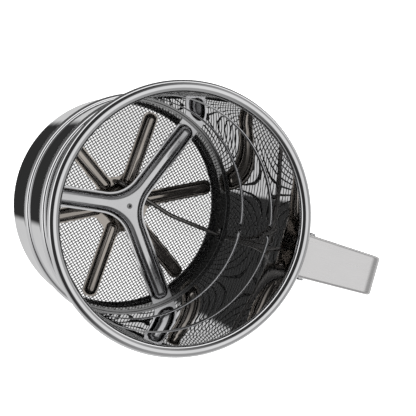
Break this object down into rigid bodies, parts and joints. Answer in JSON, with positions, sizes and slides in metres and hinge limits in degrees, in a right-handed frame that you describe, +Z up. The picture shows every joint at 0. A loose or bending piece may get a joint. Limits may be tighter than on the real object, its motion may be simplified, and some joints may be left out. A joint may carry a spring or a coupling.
{
  "type": "flour sifter",
  "caption": "One-hand flour sifter: straight steel cup with a woven mesh floor, a bridge, a rotary agitator and a squeeze trigger inside a C-shaped handle.",
  "frame": {"origin": "on the cup's axis, in the plane of its base edge", "axes": "+Z up the cup's axis towards the open rim, +X towards the handle; -Z is the way sifted flour falls"},
  "size_m": [0.1418, 0.1044, 0.0948],
  "materials": {
    "polished_steel": "mirror polished sheet",
    "satin_steel": "satin pressed sheet",
    "agitator_steel": "pressed sheet, slightly warm",
    "handle_steel": "satin strap, long brushing",
    "mesh_wire": "woven wire",
    "wire_steel": "drawn wire",
    "spring_steel": "drawn spring wire",
    "dark_steel": "rivet end"
  },
  "bodies": {
    "cup": {"cup_shell": "polished_steel", "mesh_screen": "mesh_wire", "mesh_retaining_ring": "dark_steel", "link_slot_eyelet": "dark_steel", "spider_bridge": "satin_steel", "pivot_post": "dark_steel", "agitator_spring": "spring_steel", "handle_strap": "handle_steel", "hinge_pin": "satin_steel", "hinge_washer_near": "satin_steel", "hinge_washer_far": "satin_steel"},
    "trigger": {"trigger_lever": "handle_steel", "hinge_spacer": "satin_steel", "trigger_return_spring": "spring_steel"},
    "rotor": {"agitator": "agitator_steel", "agitator_bush": "agitator_steel", "lower_thrust_washer": "satin_steel", "upper_thrust_washer": "satin_steel"},
    "link": {"link_rod": "wire_steel", "link_push_nut": "satin_steel"}
  },
  "joints": [
    {"name": "trigger_squeeze", "type": "hinge", "parent": "cup", "child": "trigger", "pos_m": [0.0565, -0.00045, 0.083], "axis": [0, -1, 0], "range_deg": [0, 8.1], "stiffness_Nm_per_rad": 0.8, "springref_deg": -6.88, "deforming": ["trigger_return_spring"]},
    {"name": "agitator_turn", "type": "hinge", "parent": "cup", "child": "rotor", "pos_m": [0, 0, 0.003], "axis": [0, 0, -1], "range_deg": [0, 56.5]},
    {"name": "link_pivot", "type": "hinge", "parent": "rotor", "child": "link", "pos_m": [-0.00493, 0.00927, 0.003], "axis": [0, 0, 1], "range_deg": [0, 56.5]}
  ],
  "couplings": [
    {"joint": "agitator_turn", "follows": "trigger_squeeze", "ratio": 6.9136},
    {"joint": "link_pivot", "follows": "trigger_squeeze", "ratio": 6.9136}
  ]
}
